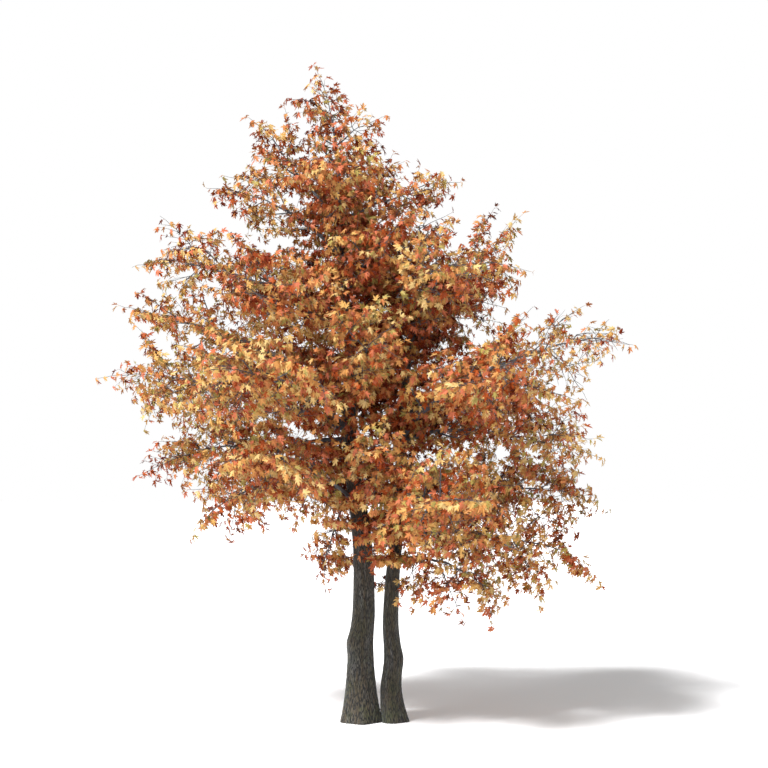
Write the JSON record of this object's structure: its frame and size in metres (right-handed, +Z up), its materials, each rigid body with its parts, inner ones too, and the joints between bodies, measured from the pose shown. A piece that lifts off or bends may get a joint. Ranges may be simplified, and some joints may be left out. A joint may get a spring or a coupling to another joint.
{
  "type": "maple tree",
  "caption": "Clump-form maple tree in autumn leaf, rooted in level ground, with tapering stems, spreading boughs and separate masses of twigs and leaves.",
  "frame": {"origin": "ground level at the middle of the larger, left stem's foot", "axes": "+Z straight up, +X from the larger stem to the smaller one, to the right as the tree is seen from the front, and +Y to the back"},
  "size_m": [7.3189, 5.9205, 9.0236],
  "materials": {
    "bark": "dark, fissured, matt",
    "leaves_gold": "thin autumn leaves, satin",
    "leaves_orange": "thin autumn leaves, satin",
    "leaves_red": "thin autumn leaves, satin"
  },
  "bodies": {
    "root": {"back_high_left_bough": "bark", "back_high_left_leaves": "leaves_orange", "back_high_right_leaves": "leaves_gold", "back_inner_high_leaves": "leaves_orange", "back_inner_middle_leaves": "leaves_red", "back_low_left_bough": "bark", "back_low_left_leaves": "leaves_gold", "back_low_right_bough": "bark", "back_low_right_leaves": "leaves_red", "back_middle_left_bough": "bark", "back_middle_left_leaves": "leaves_red", "back_middle_right_bough": "bark", "back_middle_right_leaves": "leaves_orange", "back_top_leaves": "leaves_red", "front_high_left_bough": "bark", "front_high_left_leaves": "leaves_orange", "front_high_right_leaves": "leaves_orange", "front_inner_high_leaves": "leaves_red", "front_inner_low_leaves": "leaves_gold", "front_inner_middle_leaves": "leaves_orange", "front_low_left_bough": "bark", "front_low_left_leaves": "leaves_orange", "front_low_right_bough": "bark", "front_low_right_leaves": "leaves_gold", "front_middle_left_bough": "bark", "front_middle_left_leaves": "leaves_gold", "front_middle_right_bough": "bark", "front_middle_right_leaves": "leaves_red", "front_top_leaves": "leaves_orange", "left_crown_leaves": "leaves_orange", "left_drooping_bough": "bark", "left_drooping_leaves": "leaves_orange", "left_high_bough": "bark", "left_high_leaves": "leaves_red", "left_low_bough": "bark", "left_low_leaves": "leaves_orange", "left_lower_bough": "bark", "left_lower_leaves": "leaves_gold", "left_middle_bough": "bark", "left_middle_leaves": "leaves_gold", "left_peak_leaves": "leaves_orange", "left_shoots_leaves": "leaves_gold", "left_stem": "bark", "left_upper_leaves": "leaves_gold", "middle_shoots_leaves": "leaves_orange", "right_bottom_bough": "bark", "right_bottom_leaves": "leaves_gold", "right_crown_leaves": "leaves_red", "right_drooping_bough": "bark", "right_drooping_leaves": "leaves_orange", "right_high_bough": "bark", "right_high_leaves": "leaves_red", "right_long_bough": "bark", "right_long_leaves": "leaves_gold", "right_low_bough": "bark", "right_low_leaves": "leaves_orange", "right_middle_bough": "bark", "right_middle_leaves": "leaves_orange", "right_peak_leaves": "leaves_orange", "right_stem": "bark"}
  },
  "joints": []
}
